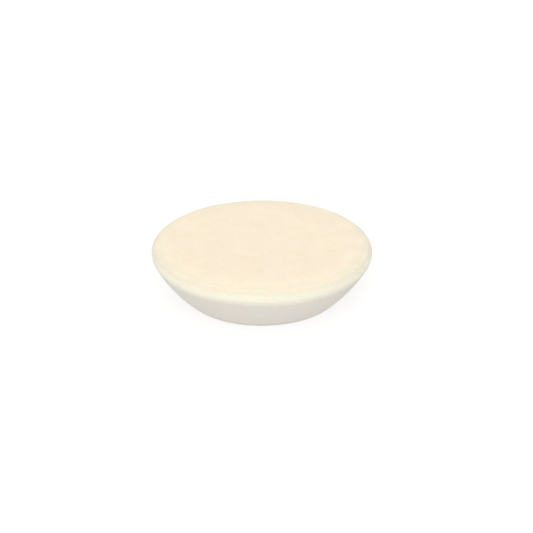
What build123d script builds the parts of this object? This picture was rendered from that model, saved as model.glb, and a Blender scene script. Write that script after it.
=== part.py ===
from build123d import *

import os
from math import cos, radians, sin

# Spin-on felt polishing wheel for a lapidary spindle, face up, resting on its felt back.
#
# A head of hard pressed wool felt has a flat face, a soft rolled edge and a side that tapers in to a
# smaller back. A laminate backing plate is cemented into a pocket in that back, and a flanged steel
# hub with an internal 5/8-11 thread is riveted to the plate, over washers on the felt side.
#
# Frame: millimetres, +Z up along the wheel's axis. The origin is the centre of the back, in the plane
# that the felt skirt rests on. The working face is up.

# Driving dimensions of the felt head
FELT_DIAMETER = 101.6
FELT_THICKNESS = 25.4
BACK_DIAMETER = 73.0
SHOULDER_RADIUS = 4.05
SHOULDER_END_ANGLE = 117.6  # from the face's normal to the side's normal where the taper begins
FACE_ROLL_RADIUS = 61.0  # the slow fall of the face towards its edge
FACE_ROLL_ANGLE = 12.0
BACK_EDGE_ROUND = 1.0

# Stack in the back, from the resting plane up
SEAT_DEPTH = 0.8  # how far the hub's seat lies inside the felt skirt
BOSS_HEIGHT = 2.0
FLANGE_THICKNESS = 2.4
PLATE_THICKNESS = 3.2
CEMENT_THICKNESS = 0.4
HUB_LENGTH = 15.2

# Radii in the back
PLATE_RADIUS = 30.0
PLATE_GAP = 0.25  # between the plate's rim and the felt
FLANGE_RADIUS = 22.0
BOSS_RADIUS = 14.0
BARREL_RADIUS = 11.0
BARREL_GAP = 0.05
THREAD_MINOR_RADIUS = 6.75  # 5/8-11 UNC
THREAD_MAJOR_RADIUS = 15.875 / 2
THREAD_MOUTH_MARGIN = 0.2  # how far the chamfers at the thread's mouths reach past its major radius

# Hollows in the felt over the rivet tails and over the end of the barrel
RELIEF_RADIUS = 22.0
RELIEF_DEPTH = 3.6
WELL_RADIUS = 12.0
WELL_CLEARANCE = 1.4

# Rivets and their washers
RIVET_COUNT = 6
RIVET_CIRCLE_RADIUS = 18.0
RIVET_RADIUS = 1.6
RIVET_GAP = 0.05
HEAD_RADIUS = 3.2
HEAD_HEIGHT = 1.6
TAIL_RADIUS = 2.7
TAIL_HEIGHT = 1.4
WASHER_RADIUS = 3.4
WASHER_THICKNESS = 0.8

EDGE_BREAK = 0.4

# Sizes worked out from those above
thread_mouth_chamfer = THREAD_MAJOR_RADIUS - THREAD_MINOR_RADIUS + THREAD_MOUTH_MARGIN
seat_z = SEAT_DEPTH
flange_z = seat_z + BOSS_HEIGHT
plate_z = flange_z + FLANGE_THICKNESS
plate_top_z = plate_z + PLATE_THICKNESS
pocket_top_z = plate_top_z + CEMENT_THICKNESS
relief_top_z = pocket_top_z + RELIEF_DEPTH
hub_top_z = seat_z + HUB_LENGTH
well_top_z = hub_top_z + WELL_CLEARANCE
washer_top_z = plate_top_z + WASHER_THICKNESS

# The felt's outline: a flat face, a slow roll, the shoulder and a slightly bulging taper, all tangent
roll_angle = radians(FACE_ROLL_ANGLE)
side_angle = radians(SHOULDER_END_ANGLE)
shoulder_r = FELT_DIAMETER / 2 - SHOULDER_RADIUS
face_flat_radius = shoulder_r - (FACE_ROLL_RADIUS - SHOULDER_RADIUS) * sin(roll_angle)
shoulder_z = FELT_THICKNESS - FACE_ROLL_RADIUS + (FACE_ROLL_RADIUS - SHOULDER_RADIUS) * cos(roll_angle)
shoulder_end = Vector(
    shoulder_r + SHOULDER_RADIUS * sin(side_angle),
    shoulder_z + SHOULDER_RADIUS * cos(side_angle),
)
shoulder_end_tangent = Vector(cos(side_angle), -sin(side_angle))
back_edge = Vector(BACK_DIAMETER / 2, 0)

with BuildPart() as felt_head:
    with BuildSketch(Plane.XZ):
        with BuildLine():
            Line((0, 0), back_edge)
            TangentArc(shoulder_end, back_edge, tangent=shoulder_end_tangent)
            CenterArc(
                (shoulder_r, shoulder_z),
                SHOULDER_RADIUS,
                start_angle=90 - SHOULDER_END_ANGLE,
                arc_size=SHOULDER_END_ANGLE - FACE_ROLL_ANGLE,
            )
            CenterArc(
                (face_flat_radius, FELT_THICKNESS - FACE_ROLL_RADIUS),
                FACE_ROLL_RADIUS,
                start_angle=90 - FACE_ROLL_ANGLE,
                arc_size=FACE_ROLL_ANGLE,
            )
            Polyline((face_flat_radius, FELT_THICKNESS), (0, FELT_THICKNESS), (0, 0))
        make_face()
    revolve(axis=Axis.Z)
    fillet(felt_head.edges().group_by(Axis.Z)[0], radius=BACK_EDGE_ROUND)
    # The pocket for the plate, the relief over the rivet tails and the well over the barrel
    for radius, top in (
        (PLATE_RADIUS + PLATE_GAP, pocket_top_z),
        (RELIEF_RADIUS, relief_top_z),
        (WELL_RADIUS, well_top_z),
    ):
        with BuildSketch(Plane.XY):
            Circle(radius)
        extrude(amount=top, mode=Mode.SUBTRACT)
    pocket_mouth = felt_head.edges().filter_by(GeomType.CIRCLE).group_by(Axis.Z)[0].sort_by(SortBy.RADIUS)[0]
    chamfer(pocket_mouth, length=EDGE_BREAK)

with BuildPart() as contact_cement:
    with BuildSketch(Plane.XY.offset(plate_top_z)):
        Circle(PLATE_RADIUS)
        Circle(RELIEF_RADIUS, mode=Mode.SUBTRACT)
    extrude(amount=CEMENT_THICKNESS)

with BuildPart() as backing_plate:
    with BuildSketch(Plane.XY.offset(plate_z)):
        Circle(PLATE_RADIUS)
    extrude(amount=PLATE_THICKNESS)
    chamfer(backing_plate.edges().group_by(Axis.Z)[0], length=EDGE_BREAK)
    Hole(BARREL_RADIUS + BARREL_GAP)
    with PolarLocations(RIVET_CIRCLE_RADIUS, RIVET_COUNT):
        Hole(RIVET_RADIUS + RIVET_GAP)

with BuildPart() as threaded_hub:
    with BuildSketch(Plane.XY.offset(seat_z)):
        Circle(BOSS_RADIUS)
    extrude(amount=BOSS_HEIGHT)
    chamfer(threaded_hub.edges().group_by(Axis.Z)[0], length=EDGE_BREAK)
    with BuildSketch(Plane.XY.offset(flange_z)):
        Circle(FLANGE_RADIUS)
    extrude(amount=FLANGE_THICKNESS)
    flange_rim = threaded_hub.faces().filter_by(GeomType.CYLINDER).sort_by(SortBy.AREA)[-1]
    chamfer(flange_rim.edges().sort_by(Axis.Z)[0], length=EDGE_BREAK)
    with BuildSketch(Plane.XY.offset(plate_z)):
        Circle(BARREL_RADIUS)
    extrude(amount=hub_top_z - plate_z)
    chamfer(threaded_hub.edges().group_by(Axis.Z)[-1], length=EDGE_BREAK)
    Hole(THREAD_MINOR_RADIUS)
    thread_wall = threaded_hub.faces().filter_by(GeomType.CYLINDER).sort_by(SortBy.RADIUS)[0]
    chamfer(thread_wall.edges().filter_by(GeomType.CIRCLE), length=thread_mouth_chamfer)
    with PolarLocations(RIVET_CIRCLE_RADIUS, RIVET_COUNT):
        Hole(RIVET_RADIUS + RIVET_GAP)

with BuildPart() as rivet:
    with BuildSketch(Plane.XZ):
        with BuildLine():
            head_top = (0, flange_z - HEAD_HEIGHT)
            head_rim = (HEAD_RADIUS, flange_z)
            tail_rim = (TAIL_RADIUS, washer_top_z)
            tail_top = (0, washer_top_z + TAIL_HEIGHT)
            TangentArc(head_top, head_rim, tangent=(1, 0))
            Polyline(head_rim, (RIVET_RADIUS, flange_z), (RIVET_RADIUS, washer_top_z), tail_rim)
            TangentArc(tail_top, tail_rim, tangent=(1, 0))
            Line(tail_top, head_top)
        make_face()
    revolve(axis=Axis.Z)

with BuildPart() as hub_rivets:
    with PolarLocations(RIVET_CIRCLE_RADIUS, RIVET_COUNT):
        add(rivet.part)

with BuildPart() as rivet_washers:
    with BuildSketch(Plane.XY.offset(plate_top_z)):
        with PolarLocations(RIVET_CIRCLE_RADIUS, RIVET_COUNT):
            Circle(WASHER_RADIUS)
            Circle(RIVET_RADIUS + RIVET_GAP, mode=Mode.SUBTRACT)
    extrude(amount=WASHER_THICKNESS)

pieces = {
    "felt_head": felt_head,
    "contact_cement": contact_cement,
    "backing_plate": backing_plate,
    "threaded_hub": threaded_hub,
    "hub_rivets": hub_rivets,
    "rivet_washers": rivet_washers,
}
os.makedirs("parts", exist_ok=True)
for name, piece in pieces.items():
    piece.part.label = name
    export_step(piece.part, f"parts/{name}.step")
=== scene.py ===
"""The looks of a spin-on felt polishing wheel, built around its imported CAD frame.

Frame: metres, +Z up along the wheel's axis with the working face up, and z = 0 under the felt's back.
Lengths below are in millimetres unless a comment says metres, and MM turns them into metres.
"""

import bisect
import math
import random

import bmesh
import bpy
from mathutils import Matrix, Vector, noise


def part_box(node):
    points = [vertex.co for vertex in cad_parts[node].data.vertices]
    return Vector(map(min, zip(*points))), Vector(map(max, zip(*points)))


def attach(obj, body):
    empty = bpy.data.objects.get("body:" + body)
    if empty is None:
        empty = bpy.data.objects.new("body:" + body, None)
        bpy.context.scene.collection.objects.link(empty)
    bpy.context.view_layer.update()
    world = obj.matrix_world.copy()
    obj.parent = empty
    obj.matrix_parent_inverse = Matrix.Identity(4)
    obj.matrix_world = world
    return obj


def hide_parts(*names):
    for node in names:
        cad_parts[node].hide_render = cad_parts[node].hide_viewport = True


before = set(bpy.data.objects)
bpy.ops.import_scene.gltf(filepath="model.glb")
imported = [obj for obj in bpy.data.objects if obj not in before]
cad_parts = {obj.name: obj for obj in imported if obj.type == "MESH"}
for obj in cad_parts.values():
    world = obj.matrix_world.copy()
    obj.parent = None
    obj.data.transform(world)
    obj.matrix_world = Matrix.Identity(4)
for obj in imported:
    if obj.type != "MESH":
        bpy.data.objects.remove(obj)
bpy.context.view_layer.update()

MM = 0.001

# The felt head's outline, as in the CAD. Angles are in degrees from +Z, in the (radius, height) plane.
FELT_DIAMETER = 101.6
FELT_THICKNESS = 25.4
BACK_DIAMETER = 73.0
SHOULDER_RADIUS = 4.05
SHOULDER_END_ANGLE = 117.6
FACE_ROLL_RADIUS = 61.0
FACE_ROLL_ANGLE = 12.0
BACK_EDGE_ROUND = 1.0
POCKET_EDGE_BREAK = 0.4
POCKET_STEPS = ((30.25, 8.8), (22.0, 12.4), (12.0, 17.4))  # radius and ceiling height, from the mouth in

# The hub's 5/8-11 thread
THREAD_PITCH = 25.4 / 11
THREAD_MAJOR_RADIUS = 15.875 / 2
THREAD_CREST_RADIUS = 6.80  # just over the CAD's bore, so that the cut takes the whole wall
THREAD_CREST_FLAT = 0.25  # shares of the pitch
THREAD_ROOT_FLAT = 0.125
FLANK_STEPS = 3
THREAD_COLUMNS = 128
COUNTERSINK_RADIUS = 8.35  # where the countersink at the thread's mouth meets the hub's lower face
CUT_OVERLAP = 0.1  # how far the countersink's cutter stands out of that face
WELD = 0.002  # vertices nearer than this are joined before the cuts
SLIVER = 0.01  # edges shorter than this are collapsed after the cuts

# Edges that bend by more than this, in degrees, are shaded sharp
FELT_SHARP_ANGLE = 50
HUB_SHARP_ANGLE = 22
CUTTER_SHARP_ANGLE = 20

# Mesh spacing on the felt, outside and in its pocket
FELT_SPACING = 0.55
HIDDEN_SPACING = 3.0
RIM_COLUMNS = 512
LEAST_COLUMNS = 8

# The felt's unevenness: wavelength, depth and where the noise is read. All of it lies under the outline.
FELT_LUMPS = (
    (24.0, 0.11, (0.0, 0.0, 0.0)),
    (6.5, 0.06, (31.0, 7.0, 3.0)),
    (2.1, 0.05, (5.0, 53.0, 11.0)),
)
FELT_SINK = 0.11

# The photograph's view: straight on to the front, from a little above
CAMERA_ELEVATION = 26.5
CAMERA_DISTANCE = 508.0
CAMERA_LENS = 73.85
CAMERA_SHIFT = (0.0088, -0.0060)

# Linear colours of the felt at heights, from the edge of its back up to its face, with painted light in
# them: the side's darker grey is partly the felt's own and partly painted shade
FELT_ZONES_WITH_PAINTED_LIGHT = (
    # painted shade: the lowest stop darkens the felt just above the floor
    (0.9, (0.595, 0.576, 0.540)),
    (3.4, (0.655, 0.627, 0.575)),
    (16.2, (0.664, 0.634, 0.579)),
    # painted highlight: the pale stops from 18.4 to 21.4 light up the shoulder
    (18.4, (0.752, 0.723, 0.637)),
    (20.2, (0.822, 0.796, 0.672)),
    (21.4, (0.820, 0.789, 0.658)),
    (22.8, (0.802, 0.751, 0.612)),
    (23.9, (0.872, 0.804, 0.642)),
    (24.6, (0.922, 0.830, 0.658)),
    (25.1, (0.925, 0.812, 0.648)),
)
ZONE_WANDER = 0.9  # how far up and down the borders between them wander

# Loose wool that lies on the felt. Both ends of a strand are buried, and only its middle shows.
LYING_STRANDS = 1500
LYING_LENGTH = (2.0, 6.0)
LYING_THICKNESS = (0.045, 0.08)
LYING_SPANS = 7
LYING_RISE = 1.2  # from a strand's ends to its middle, in half thicknesses
LYING_BEND = 0.22  # spread of a strand's steady turn per span, in radians
LYING_WAVER = 0.16  # spread of the random turn added to it
LYING_TIP = 0.35  # thickness at the ends, as a share of the middle's
AXIS_GAP = 0.5  # strands keep this far from the axis, where a turn about it means little
LEAST_TURN_RADIUS = 2.0  # nearer the axis than this, a strand turns about it as if it were this far out

# Short hairs that stand on it. Rise is a hair's slope off the surface, and droop what it loses per span.
STANDING_HAIRS = 6000
HAIR_LENGTH = (0.30, 0.80)
HAIR_THICKNESS = (0.03, 0.05)
HAIR_RISE = (0.15, 0.75)
HAIR_DROOP = (0.0, 0.35)
HAIR_SPANS = (0.4, 0.35, 0.25)
HAIR_TAPER = (1.0, 0.9, 0.6, 0.15)
ROOT_DEPTH = 0.1
SEED = 11

# Linear colours of the loose wool. The side's are darker, as painted shade that matches the felt's side.
FACE_WOOL = ((0.95, 0.86, 0.71), (0.86, 0.74, 0.58))
SIDE_WOOL_IN_PAINTED_SHADE = ((0.76, 0.74, 0.67), (0.64, 0.62, 0.55))
WOOL_DIVIDE = 22.5  # the height that parts the two

# Tones of pressed wool, multiplied into the felt's colours: a slightly pinker and a slightly cooler one
FELT_TONES = ((1.0, 0.978, 0.960), (0.996, 1.0, 0.996))
FELT_SHADE = 0.990  # the share of the felt's colour that fibres, grain and mottle add to and the painted shade of pores lessens

# Linear colours of the other materials, dark and light
LAMINATE = ((0.050, 0.020, 0.009), (0.190, 0.085, 0.036))
CEMENT = ((0.30, 0.14, 0.025), (0.52, 0.29, 0.07))
HUB_STEEL = ((0.27, 0.27, 0.28), (0.47, 0.47, 0.46))
WASHER_STEEL = ((0.42, 0.42, 0.42), (0.58, 0.58, 0.57))
RIVET_ALUMINIUM = ((0.40, 0.41, 0.42), (0.56, 0.56, 0.56))

# The studio. The floor and the sky are white, and the sky is brighter up to a low height.
FLOOR_RADIUS = 20.0  # metres
FLOOR_SIDES = 96
FLOOR_GREY = 0.32
FLOOR_GLOW = 0.71
HORIZON_STRENGTH = 1.02
SKY_STRENGTH = 0.52
HORIZON_TOP = (0.20, 0.32)  # sines of the heights where the brighter band starts and stops fading
LIGHTS = (
    # name, azimuth, elevation, strength and softness, with the angles in degrees
    ("key_light", -7, 34, 1.0, 45),
    ("top_light", 0, 86, 1.1, 100),
)
LIGHT_COLOUR = (1.0, 0.99, 0.97)


# ---------------------------------------------------------------- outlines and meshes


def polar(centre, radius, angle):
    """The point of a circle in the (radius, height) plane at an angle from +Z, in degrees."""
    turn = math.radians(angle)
    return centre[0] + radius * math.sin(turn), centre[1] + radius * math.cos(turn)


def add_run(points, end, spacing):
    """Continues an outline straight to a point."""
    start = points[-1]
    count = max(1, round(math.dist(start, end) / spacing))
    for step in range(1, count + 1):
        share = step / count
        points.append(tuple(a + (b - a) * share for a, b in zip(start, end)))


def add_arc(points, centre, radius, first, last, spacing):
    """Continues an outline along an arc between two angles from +Z, in degrees."""
    count = max(3, round(radius * math.radians(abs(last - first)) / spacing))
    for step in range(1, count + 1):
        points.append(polar(centre, radius, first + (last - first) * step / count))


def felt_outline():
    """The felt's outline as two lists of (radius, height) points: the outside, and the pocket inside."""
    roll_angle = math.radians(FACE_ROLL_ANGLE)
    shoulder_r = FELT_DIAMETER / 2 - SHOULDER_RADIUS
    roll_r = shoulder_r - (FACE_ROLL_RADIUS - SHOULDER_RADIUS) * math.sin(roll_angle)
    roll_centre = (roll_r, FELT_THICKNESS - FACE_ROLL_RADIUS)
    shoulder_z = roll_centre[1] + (FACE_ROLL_RADIUS - SHOULDER_RADIUS) * math.cos(roll_angle)
    shoulder = (shoulder_r, shoulder_z)

    # The side is the arc that leaves the shoulder smoothly and would meet the back at its diameter
    top = Vector(polar(shoulder, SHOULDER_RADIUS, SHOULDER_END_ANGLE))
    outward = Vector(polar((0, 0), 1, SHOULDER_END_ANGLE))
    chord = Vector((BACK_DIAMETER / 2, 0)) - top
    side_radius = -chord.length_squared / (2 * chord.dot(outward))
    side = top - outward * side_radius
    reach = side_radius - BACK_EDGE_ROUND
    side_end = math.degrees(math.acos((BACK_EDGE_ROUND - side.y) / reach))
    edge = polar(side, reach, side_end)

    outer = [(0.0, FELT_THICKNESS)]
    add_run(outer, (roll_r, FELT_THICKNESS), FELT_SPACING)
    add_arc(outer, roll_centre, FACE_ROLL_RADIUS, 0, FACE_ROLL_ANGLE, FELT_SPACING)
    add_arc(outer, shoulder, SHOULDER_RADIUS, FACE_ROLL_ANGLE, SHOULDER_END_ANGLE, FELT_SPACING)
    add_arc(outer, side, side_radius, SHOULDER_END_ANGLE, side_end, FELT_SPACING)
    add_arc(outer, edge, BACK_EDGE_ROUND, side_end, 180, FELT_SPACING / 2)
    mouth = POCKET_STEPS[0][0]
    add_run(outer, (mouth + POCKET_EDGE_BREAK, 0.0), FELT_SPACING)

    pocket = [(mouth, POCKET_EDGE_BREAK)]
    for radius, ceiling in POCKET_STEPS:
        add_run(pocket, (radius, pocket[-1][1]), HIDDEN_SPACING)
        add_run(pocket, (radius, ceiling), HIDDEN_SPACING)
    add_run(pocket, (0.0, pocket[-1][1]), HIDDEN_SPACING)
    return outer, [point for i, point in enumerate(pocket) if i == 0 or point != pocket[i - 1]]


def columns_at(radius):
    """How many vertices a ring gets, so that their spacing stays much the same from the rim to the axis."""
    if radius < 1e-6:
        return 1
    halvings = max(0, math.floor(math.log2(FELT_DIAMETER / 2 / radius)))
    return max(LEAST_COLUMNS, RIM_COLUMNS >> halvings)


def stitch(mesh, wide, narrow):
    """Joins two rings of vertices. One may have twice as many as the other, or be a single vertex."""
    if len(wide) < len(narrow):
        wide, narrow = narrow, wide
    count = len(narrow)
    for i, vertex in enumerate(narrow):
        beside = narrow[(i + 1) % count]
        if len(wide) == count:
            mesh.faces.new((vertex, beside, wide[(i + 1) % count], wide[i]))
        elif count > 1:
            first, middle, last = wide[2 * i], wide[2 * i + 1], wide[(2 * i + 2) % len(wide)]
            mesh.faces.new((vertex, middle, first))
            mesh.faces.new((vertex, beside, middle))
            mesh.faces.new((beside, last, middle))
    if count == 1:
        for a, b in zip(wide, wide[1:] + wide[:1]):
            mesh.faces.new((a, b, narrow[0]))


def object_from(name, mesh, sharp_angle):
    """A Blender object from a bmesh: outward normals, smooth, with the edges over an angle kept sharp."""
    bmesh.ops.recalc_face_normals(mesh, faces=mesh.faces)
    data = bpy.data.meshes.new(name)
    mesh.to_mesh(data)
    mesh.free()
    data.polygons.foreach_set("use_smooth", [True] * len(data.polygons))
    data.set_sharp_from_angle(angle=math.radians(sharp_angle))
    made = bpy.data.objects.new(name, data)
    bpy.context.scene.collection.objects.link(made)
    return made


def felt_shift(point):
    """How far the felt's surface stands off its outline at a point, in millimetres."""
    shift = 0.0
    for wavelength, depth, offset in FELT_LUMPS:
        shift += depth * noise.noise(Vector(point) / wavelength + Vector(offset))
    return min(shift - FELT_SINK, 0.0)


def make_felt():
    """The felt head: the CAD's outline turned, with the slight unevenness of pressed wool."""
    outer, pocket = felt_outline()
    outline = outer + pocket
    mesh = bmesh.new()
    rings = []
    for i, (radius, height) in enumerate(outline):
        before = Vector(outline[max(i - 1, 0)])
        after = Vector(outline[min(i + 1, len(outline) - 1)])
        along = (after - before).normalized()
        outward = Vector((-along.y, along.x))  # the outline runs clockwise, seen with the axis on the left
        uneven = i < len(outer) - 1
        ring = []
        count = columns_at(radius)
        for column in range(count):
            turn = math.tau * column / count
            place = Vector((radius * math.cos(turn), radius * math.sin(turn), height))
            if uneven:
                shift = felt_shift(place)
                place += shift * Vector((outward.x * math.cos(turn), outward.x * math.sin(turn), outward.y))
                place.z = max(place.z, 0.0)
            ring.append(mesh.verts.new(place * MM))
        rings.append(ring)
    for low, high in zip(rings, rings[1:]):
        stitch(mesh, low, high)
    return object_from("felt_head_wool", mesh, FELT_SHARP_ANGLE)


class FeltSkin:
    """The felt's outer surface, read by the distance along its outline and the turn about the axis."""

    def __init__(self):
        self.outline = [Vector(point) for point in felt_outline()[0]]
        self.reached = [0.0]
        for a, b in zip(self.outline, self.outline[1:]):
            self.reached.append(self.reached[-1] + (b - a).length)
        above = [i for i, point in enumerate(self.outline) if point.y > BACK_EDGE_ROUND]
        self.end = self.reached[above[-1]]

    def radius(self, distance):
        """The outline's radius at a distance along it."""
        return self.outline[min(bisect.bisect(self.reached, distance), len(self.outline) - 1)].x

    def at(self, distance, turn, lift):
        """(a point a lift above the surface, the surface's outward direction)."""
        i = min(max(bisect.bisect(self.reached, distance), 1), len(self.outline) - 1)
        before, after = self.outline[i - 1], self.outline[i]
        span = self.reached[i] - self.reached[i - 1]
        point = before.lerp(after, (distance - self.reached[i - 1]) / span)
        along = (after - before).normalized()
        outward = Vector((-along.y * math.cos(turn), -along.y * math.sin(turn), along.x))
        place = Vector((point.x * math.cos(turn), point.x * math.sin(turn), point.y))
        return place + (felt_shift(place) + lift) * outward, outward

    def pick(self, chance):
        """A random spot, as likely anywhere on the face, shoulder and side."""
        while True:
            distance = chance.uniform(0, self.end)
            if chance.random() < self.radius(distance) / (FELT_DIAMETER / 2):
                return distance, chance.uniform(0, math.tau)


def add_strand(wool, points, outward, radii):
    """Adds a closed three-sided strand along points to the vertices and faces of wool."""
    vertices, faces = wool
    first = len(vertices)
    for i, point in enumerate(points):
        along = (points[min(i + 1, len(points) - 1)] - points[max(i - 1, 0)]).normalized()
        side = along.cross(outward).normalized()
        over = side.cross(along)
        for angle in (90, 210, 330):
            turn = math.radians(angle)
            vertices.append((point + (side * math.cos(turn) + over * math.sin(turn)) * radii[i]) * MM)
    last = first + 3 * (len(points) - 1)
    for low in range(first, last, 3):
        faces += [(low + j, low + (j + 1) % 3, low + 3 + (j + 1) % 3, low + 3 + j) for j in range(3)]
    faces.append((first + 2, first + 1, first))
    faces.append((last, last + 1, last + 2))


def add_lying_strand(wool, skin, chance):
    """Adds a wavy strand that lies on the felt with both its ends buried in it."""
    distance, turn = skin.pick(chance)
    heading = chance.uniform(0, math.tau)
    half_thick = chance.uniform(*LYING_THICKNESS) / 2
    step = chance.uniform(*LYING_LENGTH) / LYING_SPANS
    bend = chance.gauss(0, LYING_BEND)
    points, radii = [], []
    for i in range(LYING_SPANS + 1):
        arch = math.sin(math.pi * i / LYING_SPANS)
        lift = half_thick * (LYING_RISE * arch - 1.0)
        point, outward = skin.at(min(max(distance, AXIS_GAP), skin.end), turn, lift)
        points.append(point)
        radii.append(half_thick * (LYING_TIP + (1.0 - LYING_TIP) * arch))
        heading += bend + chance.gauss(0, LYING_WAVER)
        distance += step * math.cos(heading)
        turn += step * math.sin(heading) / max(skin.radius(distance), LEAST_TURN_RADIUS)
    add_strand(wool, points, outward, radii)


def add_standing_hair(wool, skin, chance):
    """Adds a short tapered hair that leaves the felt at a slant and bends over."""
    distance, turn = skin.pick(chance)
    root, outward = skin.at(distance, turn, -ROOT_DEPTH)
    aside = Vector([chance.gauss(0, 1) for _ in range(3)]).cross(outward).normalized()
    rise = chance.uniform(*HAIR_RISE)
    length = chance.uniform(*HAIR_LENGTH) + ROOT_DEPTH
    half_thick = chance.uniform(*HAIR_THICKNESS) / 2
    points = [root]
    for share in HAIR_SPANS:
        points.append(points[-1] + (outward * rise + aside).normalized() * length * share)
        rise -= chance.uniform(*HAIR_DROOP)
    add_strand(wool, points, aside.cross(outward), [half_thick * share for share in HAIR_TAPER])


def make_loose_wool():
    """Loose fibres over the face, shoulder and side, each of them rooted in the felt."""
    chance = random.Random(SEED)
    skin = FeltSkin()
    vertices, faces, shades = [], [], []
    for count, add in ((LYING_STRANDS, add_lying_strand), (STANDING_HAIRS, add_standing_hair)):
        for _ in range(count):
            add((vertices, faces), skin, chance)
            # strands that end on the side get the darker shades, painted shade like the felt's side
            on_side = vertices[-1].z < WOOL_DIVIDE * MM
            shade = chance.randrange(len(FACE_WOOL)) + on_side * len(FACE_WOOL)
            shades += [shade] * (len(faces) - len(shades))
    data = bpy.data.meshes.new("loose_wool")
    data.from_pydata(vertices, [], faces)
    data.polygons.foreach_set("use_smooth", [True] * len(data.polygons))
    data.polygons.foreach_set("material_index", shades)
    made = bpy.data.objects.new("loose_wool", data)
    bpy.context.scene.collection.objects.link(made)
    return made


def thread_rows():
    """One turn's rows: (share of the pitch, radius), from a crest's start up to the next one."""
    flank = (1 - THREAD_CREST_FLAT - THREAD_ROOT_FLAT) / 2
    depth = THREAD_MAJOR_RADIUS - THREAD_CREST_RADIUS
    rows = [(0.0, THREAD_CREST_RADIUS)]
    steps = [i / FLANK_STEPS for i in range(FLANK_STEPS)]
    rows += [(THREAD_CREST_FLAT + flank * step, THREAD_CREST_RADIUS + depth * step) for step in (*steps, 1)]
    rows += [(1 - flank + flank * step, THREAD_MAJOR_RADIUS - depth * step) for step in steps]
    return rows


def make_tap(low, high):
    """A closed screw shape, as a tap is, that reaches well past two heights at both its ends."""
    rows = thread_rows()
    per_turn = len(rows)
    turns_under = 2
    turns_over = 1
    turns = math.ceil((high - low) / THREAD_PITCH) + turns_under + turns_over
    start = low - turns_under * THREAD_PITCH
    mesh = bmesh.new()

    def vertex(row, column):
        share, radius = rows[row % per_turn]
        angle = math.tau * column / THREAD_COLUMNS
        height = start + THREAD_PITCH * (row // per_turn + share + column / THREAD_COLUMNS)
        return mesh.verts.new(Vector((radius * math.cos(angle), radius * math.sin(angle), height)) * MM)

    last = turns * per_turn
    grid = [[vertex(row, column) for column in range(THREAD_COLUMNS)] for row in range(last + 1)]
    # One turn on, the helix has risen by a pitch, so each row goes on in the row one turn up
    over = [vertex(row, THREAD_COLUMNS) for row in range(last - per_turn + 1, last + 1)]
    for row in range(last + 1):
        on = row + per_turn
        grid[row].append(grid[on][0] if on <= last else over[on - last - 1])
    for row in range(last):
        for column in range(THREAD_COLUMNS):
            lower = grid[row][column:column + 2]
            upper = grid[row + 1][column:column + 2]
            mesh.faces.new((lower[0], lower[1], upper[1], upper[0]))
    # A cone closes each end, with its tip on the axis
    bottom = mesh.verts.new((0, 0, (start - THREAD_PITCH) * MM))
    top = mesh.verts.new((0, 0, (start + (turns + 2) * THREAD_PITCH) * MM))
    under = grid[0] + [grid[row][0] for row in range(per_turn - 1, 0, -1)]
    above = grid[last] + [grid[row][THREAD_COLUMNS] for row in range(last - 1, last - per_turn, -1)]
    for loop, tip in ((under, bottom), (above, top)):
        for a, b in zip(loop, loop[1:] + loop[:1]):
            mesh.faces.new((a, b, tip))
    return object_from("tap", mesh, CUTTER_SHARP_ANGLE)


def make_countersink(face):
    """A closed cone of 90 degrees that opens the thread's mouth at the height of the hub's lower face."""
    rim_radius = COUNTERSINK_RADIUS + CUT_OVERLAP
    mesh = bmesh.new()
    rim = []
    for column in range(THREAD_COLUMNS):
        angle = math.tau * column / THREAD_COLUMNS
        spot = Vector((rim_radius * math.cos(angle), rim_radius * math.sin(angle), face - CUT_OVERLAP))
        rim.append(mesh.verts.new(spot * MM))
    tip = mesh.verts.new(Vector((0, 0, face - CUT_OVERLAP + rim_radius)) * MM)
    mesh.faces.new(rim)
    for a, b in zip(rim, rim[1:] + rim[:1]):
        mesh.faces.new((a, b, tip))
    return object_from("countersink", mesh, CUTTER_SHARP_ANGLE)


def cut_away(piece, cutter):
    """Cuts a solid out of a piece and deletes the solid."""
    cut = piece.modifiers.new("cut", "BOOLEAN")
    cut.operation = "DIFFERENCE"
    cut.solver = "EXACT"
    cut.object = cutter
    bpy.context.view_layer.update()
    done = bpy.data.meshes.new_from_object(piece.evaluated_get(bpy.context.evaluated_depsgraph_get()))
    piece.modifiers.clear()
    piece.data = done
    bpy.data.objects.remove(cutter)


def make_hub():
    """The flanged hub: a copy of the CAD's solid with its bore cut to a real right-hand thread."""
    solid = bmesh.new()
    solid.from_mesh(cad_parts["threaded_hub"].data)
    bmesh.ops.remove_doubles(solid, verts=solid.verts, dist=WELD * MM)
    hub = object_from("threaded_hub_cut", solid, HUB_SHARP_ANGLE)
    # The normals that came with the copy don't fit the cut mesh
    custom_normals = hub.data.attributes.get("custom_normal")
    if custom_normals:
        hub.data.attributes.remove(custom_normals)
    low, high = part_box("threaded_hub")
    cut_away(hub, make_tap(low.z / MM, high.z / MM))
    cut_away(hub, make_countersink(low.z / MM))
    cleaned = bmesh.new()
    cleaned.from_mesh(hub.data)
    bmesh.ops.dissolve_degenerate(cleaned, edges=cleaned.edges, dist=SLIVER * MM)
    loose_edges = [edge for edge in cleaned.edges if not edge.link_faces]
    bmesh.ops.delete(cleaned, geom=loose_edges, context="EDGES")
    bmesh.ops.triangulate(cleaned, faces=cleaned.faces)
    cleaned.to_mesh(hub.data)
    cleaned.free()
    hub.data.set_sharp_from_angle(angle=math.radians(HUB_SHARP_ANGLE))
    return hub


# ---------------------------------------------------------------- materials


def add_node(tree, kind, inputs=(), **settings):
    """A shader node with its settings and inputs. An input is a value or another node's output."""
    node = tree.nodes.new(kind)
    for name, value in settings.items():
        setattr(node, name, value)
    for key, value in dict(inputs).items():
        if isinstance(value, bpy.types.NodeSocket):
            tree.links.new(value, node.inputs[key])
        else:
            node.inputs[key].default_value = value
    return node


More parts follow.
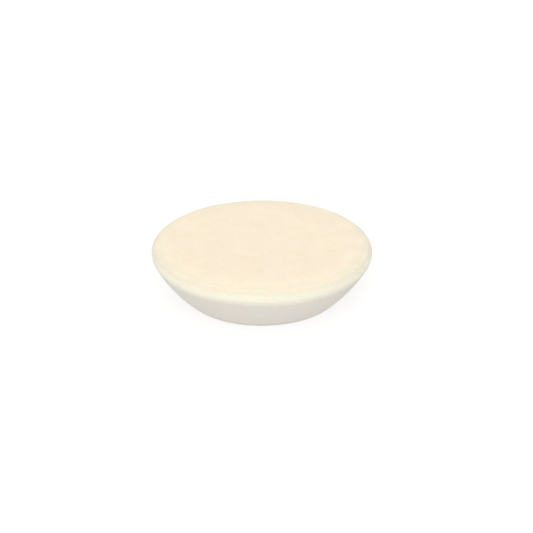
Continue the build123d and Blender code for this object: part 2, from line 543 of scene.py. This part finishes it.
def new_material(name, **shader_values):
    """A material, its node tree and its main shader, with the shader's inputs named with underscores."""
    material = bpy.data.materials.new(name)
    material.use_nodes = True
    tree = material.node_tree
    shader = next(n for n in tree.nodes if n.type == "BSDF_PRINCIPLED")
    for key, value in shader_values.items():
        shader.inputs[key.replace("_", " ")].default_value = value
    return material, tree, shader


def scaled(tree, vector, factor):
    """A point or a colour times a factor."""
    inputs = {0: vector, "Scale": factor}
    return add_node(tree, "ShaderNodeVectorMath", inputs, operation="SCALE").outputs[0]


def place_in_mm(tree):
    """The surface point in the wheel's own frame, in millimetres."""
    return scaled(tree, add_node(tree, "ShaderNodeTexCoord").outputs["Object"], 1 / MM)


def sum_of(tree, *terms):
    """The sum of (output, weight) terms."""
    total = None
    for output, weight in terms:
        part = add_node(tree, "ShaderNodeMath", {0: output, 1: weight}, operation="MULTIPLY").outputs[0]
        if total is not None:
            part = add_node(tree, "ShaderNodeMath", {0: total, 1: part}, operation="ADD").outputs[0]
        total = part
    return total


def remap(tree, output, low, high, to_low, to_high):
    """An output's range mapped smoothly to another, and held at its ends."""
    inputs = {"Value": output, "From Min": low, "From Max": high, "To Min": to_low, "To Max": to_high}
    return add_node(tree, "ShaderNodeMapRange", inputs, interpolation_type="SMOOTHSTEP").outputs["Result"]


def noise_at(tree, place, wavelength, detail=2.0, distortion=0.0):
    """Smooth noise from 0 to 1 with a wavelength in millimetres."""
    inputs = {"Vector": place, "Scale": 1 / wavelength, "Detail": detail, "Distortion": distortion}
    return add_node(tree, "ShaderNodeTexNoise", inputs).outputs["Fac"]


def waves(tree, place, scale, distortion, detail_scale=1.0, **settings):
    """Bands or rings from 0 to 1, about 0.31 / scale millimetres apart."""
    inputs = {"Vector": place, "Scale": scale, "Distortion": distortion, "Detail Scale": detail_scale}
    return add_node(tree, "ShaderNodeTexWave", inputs, **settings).outputs["Fac"]


def strands(tree, place, angle, length, width, thickness):
    """Thin wavy strands that lie level, all more or less along one direction, as 0 to 1."""
    scale = (1 / length, 1 / width, 1 / width)
    inputs = {"Vector": place, "Rotation": (0, 0, math.radians(angle)), "Scale": scale}
    stretched = add_node(tree, "ShaderNodeMapping", inputs).outputs[0]
    field = noise_at(tree, stretched, wavelength=1.0, detail=1.0, distortion=1.0)
    off = add_node(tree, "ShaderNodeMath", {0: field, 1: 0.5}, operation="SUBTRACT").outputs[0]
    size = add_node(tree, "ShaderNodeMath", {0: off}, operation="ABSOLUTE").outputs[0]
    return remap(tree, size, low=0.0, high=thickness, to_low=1.0, to_high=0.0)


def two_tone(tree, amount, colours, ends=(0.0, 1.0)):
    """A colour between two, by where an amount lies between two ends."""
    ramp = add_node(tree, "ShaderNodeValToRGB", {"Fac": amount})
    for stop, end, colour in zip(ramp.color_ramp.elements, ends, colours):
        stop.position = end
        stop.color = (*colour, 1)
    return ramp.outputs["Color"]


def bump(tree, shader, height, depth):
    """Gives the shader a bump of a depth in millimetres from a height of 0 to 1."""
    node = add_node(tree, "ShaderNodeBump", {"Height": height, "Distance": depth * MM, "Strength": 1.0})
    tree.links.new(node.outputs[0], shader.inputs["Normal"])


def felt_zones_with_painted_light(tree, place):
    """The felt's colour by height, from its side up to its face, with borders that wander. Its side holds
    painted shade, darkest at the foot, and its shoulder a painted highlight.
    """
    height = add_node(tree, "ShaderNodeSeparateXYZ", {0: place}).outputs["Z"]
    level = sum_of(tree, (height, 1.0), (noise_at(tree, place, wavelength=9.0), ZONE_WANDER))
    low, high = FELT_ZONES_WITH_PAINTED_LIGHT[0][0], FELT_ZONES_WITH_PAINTED_LIGHT[-1][0]
    inputs = {"Value": level, "From Min": low + ZONE_WANDER / 2, "From Max": high + ZONE_WANDER / 2}
    share = add_node(tree, "ShaderNodeMapRange", inputs).outputs["Result"]
    ramp = add_node(tree, "ShaderNodeValToRGB", {"Fac": share})
    ramp.color_ramp.interpolation = "EASE"
    for i, (zone, colour) in enumerate(FELT_ZONES_WITH_PAINTED_LIGHT):
        at = (zone - low) / (high - low)
        stop = ramp.color_ramp.elements[i] if i < 2 else ramp.color_ramp.elements.new(at)
        stop.position = at
        stop.color = (*colour, 1)
    return ramp.outputs["Color"]


def felt_material():
    """Hard pressed wool felt: a warm face, a greyer side that is partly painted shade, a painted highlight
    on the shoulder, level fibres in all directions and no gloss.
    """
    material, tree, shader = new_material(
        "pressed_wool_felt", Roughness=0.95, Specular_IOR_Level=0.15, Sheen_Weight=0.12, Sheen_Roughness=0.5
    )
    place = place_in_mm(tree)
    fine = [strands(tree, place, angle, length=1.6, width=0.5, thickness=0.05) for angle in (12, 71, 133)]
    coarse = [strands(tree, place, angle, length=3, width=1.2, thickness=0.06) for angle in (40, 104, 165)]
    grain = noise_at(tree, place, wavelength=0.45, detail=3.0)
    mottle = noise_at(tree, place, wavelength=7.0, detail=4.0)
    # dark spots paint the shade inside the felt's tiny pits: painted shade
    spots = noise_at(tree, place, wavelength=0.9, detail=3.0)
    painted_pore_shade = remap(tree, spots, low=0.56, high=0.72, to_low=0.0, to_high=1.0)
    relief = sum_of(
        tree,
        *[(fibre, 0.22) for fibre in fine],
        *[(fibre, 0.30) for fibre in coarse],
        (grain, 0.55),
    )
    bump(tree, shader, relief, depth=0.115)

    patches = noise_at(tree, place, wavelength=13.0, detail=3.0, distortion=0.6)
    tone = two_tone(tree, patches, FELT_TONES, ends=(0.32, 0.68))
    inputs = {0: felt_zones_with_painted_light(tree, place), 1: tone}
    colour = add_node(tree, "ShaderNodeVectorMath", inputs, operation="MULTIPLY").outputs[0]
    shade = sum_of(
        tree,
        *[(fibre, 0.014) for fibre in fine],
        *[(fibre, 0.022) for fibre in coarse],
        (mottle, 0.06),
        (grain, 0.06),
        (painted_pore_shade, -0.05),
    )
    amount = add_node(tree, "ShaderNodeMath", {0: shade, 1: FELT_SHADE}, operation="ADD").outputs[0]
    tree.links.new(scaled(tree, colour, amount), shader.inputs["Base Color"])
    return material


def wool_material(name, colour):
    """One shade of loose wool fibre: matt, with a soft edge glow."""
    return new_material(
        name, Base_Color=(*colour, 1), Roughness=0.85, Specular_IOR_Level=0.2, Sheen_Weight=0.2
    )[0]


def laminate_material():
    """Cloth-filled phenolic laminate: a brown weave on the flats and thin plies round the rim."""
    material, tree, shader = new_material("cloth_laminate", Roughness=0.42)
    place = place_in_mm(tree)
    warp = waves(tree, place, scale=0.35, distortion=0.6, detail_scale=0.6, bands_direction="X")
    weft = waves(tree, place, scale=0.35, distortion=0.6, detail_scale=0.6, bands_direction="Y")
    plies = waves(tree, place, scale=0.75, distortion=0.8, bands_direction="Z")
    mottle = noise_at(tree, place, wavelength=5.0, detail=4.0)
    weave = sum_of(tree, (warp, 0.35), (weft, 0.35), (plies, 0.2), (mottle, 0.3))
    worn = remap(tree, mottle, low=0.3, high=0.7, to_low=0.36, to_high=0.5)
    tree.links.new(two_tone(tree, weave, LAMINATE), shader.inputs["Base Color"])
    tree.links.new(worn, shader.inputs["Roughness"])
    bump(tree, shader, weave, depth=0.03)
    return material


def turned_metal(name, colours, roughness, ring_pitch):
    """Bare metal with fine turning rings about the wheel's axis and faint staining."""
    material, tree, shader = new_material(name, Metallic=1.0, Roughness=roughness)
    place = place_in_mm(tree)
    settings = {"wave_type": "RINGS", "rings_direction": "Z", "wave_profile": "SAW"}
    rings = waves(tree, place, scale=0.31 / ring_pitch, distortion=0.4, **settings)
    stain = noise_at(tree, place, wavelength=4.0, detail=5.0)
    worn = remap(tree, stain, low=0.25, high=0.75, to_low=roughness - 0.08, to_high=roughness + 0.1)
    tree.links.new(two_tone(tree, stain, colours), shader.inputs["Base Color"])
    tree.links.new(worn, shader.inputs["Roughness"])
    bump(tree, shader, rings, depth=0.02)
    return material


def cement_material():
    """Dried contact cement: amber, slightly uneven and rubbery."""
    material, tree, shader = new_material("dried_cement", Roughness=0.45)
    streaks = noise_at(tree, place_in_mm(tree), wavelength=2.5, detail=4.0, distortion=1.0)
    tree.links.new(two_tone(tree, streaks, CEMENT), shader.inputs["Base Color"])
    bump(tree, shader, streaks, depth=0.08)
    return material


def dress(piece, material):
    """Gives a piece its one material."""
    piece.data.materials.clear()
    piece.data.materials.append(material)


def dress_node(name, material):
    """Puts a material on a CAD node's object, through its slots."""
    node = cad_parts[name]
    for slot in node.material_slots:
        slot.link = "OBJECT"
        slot.material = material


# ---------------------------------------------------------------- stage, light and camera


def make_floor():
    """A wide white floor that glows a little, as a light table does, so that shadows on it stay faint."""
    bpy.ops.mesh.primitive_circle_add(vertices=FLOOR_SIDES, radius=FLOOR_RADIUS, fill_type="NGON")
    floor = bpy.context.object
    floor.name = "floor"
    material = new_material(
        "white_floor",
        Base_Color=(FLOOR_GREY, FLOOR_GREY, FLOOR_GREY, 1),
        Roughness=1.0,
        Specular_IOR_Level=0.0,
        Emission_Color=(1, 1, 1, 1),
        Emission_Strength=FLOOR_GLOW,
    )[0]
    dress(floor, material)


def make_sky():
    """A dim white sky with a brighter band at the horizon, as a white studio wall gives."""
    world = bpy.data.worlds.new("studio")
    bpy.context.scene.world = world
    world.use_nodes = True
    tree = world.node_tree
    direction = add_node(tree, "ShaderNodeTexCoord").outputs["Generated"]
    rise = add_node(tree, "ShaderNodeSeparateXYZ", {0: direction}).outputs["Z"]
    strength = remap(tree, rise, *HORIZON_TOP, HORIZON_STRENGTH, SKY_STRENGTH)
    background = next(n for n in tree.nodes if n.type == "BACKGROUND")
    background.inputs["Color"].default_value = (1, 1, 1, 1)
    tree.links.new(strength, background.inputs["Strength"])


def add_sun(name, azimuth, elevation, strength, softness):
    """A very soft light from a direction. Azimuth 0 comes from the front, and 90 from the right."""
    data = bpy.data.lights.new(name, "SUN")
    data.energy = strength
    data.angle = math.radians(softness)
    data.color = LIGHT_COLOUR
    lamp = bpy.data.objects.new(name, data)
    turn, rise = math.radians(azimuth), math.radians(elevation)
    towards = Vector((math.sin(turn) * math.cos(rise), -math.cos(turn) * math.cos(rise), math.sin(rise)))
    lamp.rotation_euler = towards.to_track_quat("Z", "Y").to_euler()
    bpy.context.scene.collection.objects.link(lamp)


def make_camera():
    """The photograph's camera, aimed at the middle of the wheel."""
    data = bpy.data.cameras.new("camera")
    data.lens = CAMERA_LENS
    data.shift_x, data.shift_y = CAMERA_SHIFT
    data.clip_start = 0.01  # metres
    camera = bpy.data.objects.new("camera", data)
    rise = math.radians(CAMERA_ELEVATION)
    back = Vector((0, -math.cos(rise), math.sin(rise)))
    camera.location = Vector((0, 0, FELT_THICKNESS / 2 * MM)) + back * CAMERA_DISTANCE * MM
    camera.rotation_euler = back.to_track_quat("Z", "Y").to_euler()
    bpy.context.scene.collection.objects.link(camera)
    bpy.context.scene.camera = camera


make_camera()
make_floor()
make_sky()
for light in LIGHTS:
    add_sun(*light)
bpy.context.scene.view_settings.view_transform = "Standard"

felt = make_felt()
dress(felt, felt_material())
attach(felt, "root")
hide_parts("felt_head")

loose_wool = make_loose_wool()
# the last two wool shades are the side's, darkened as painted shade
for number, shade in enumerate(FACE_WOOL + SIDE_WOOL_IN_PAINTED_SHADE, 1):
    loose_wool.data.materials.append(wool_material(f"wool_fibre_{number}", shade))
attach(loose_wool, "root")

hub = make_hub()
dress(hub, turned_metal("turned_steel", HUB_STEEL, roughness=0.34, ring_pitch=0.30))
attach(hub, "root")
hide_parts("threaded_hub")

dress_node("backing_plate", laminate_material())
dress_node("contact_cement", cement_material())
dress_node("hub_rivets", turned_metal("rivet_aluminium", RIVET_ALUMINIUM, roughness=0.50, ring_pitch=0.30))
dress_node("rivet_washers", turned_metal("washer_steel", WASHER_STEEL, roughness=0.42, ring_pitch=0.25))
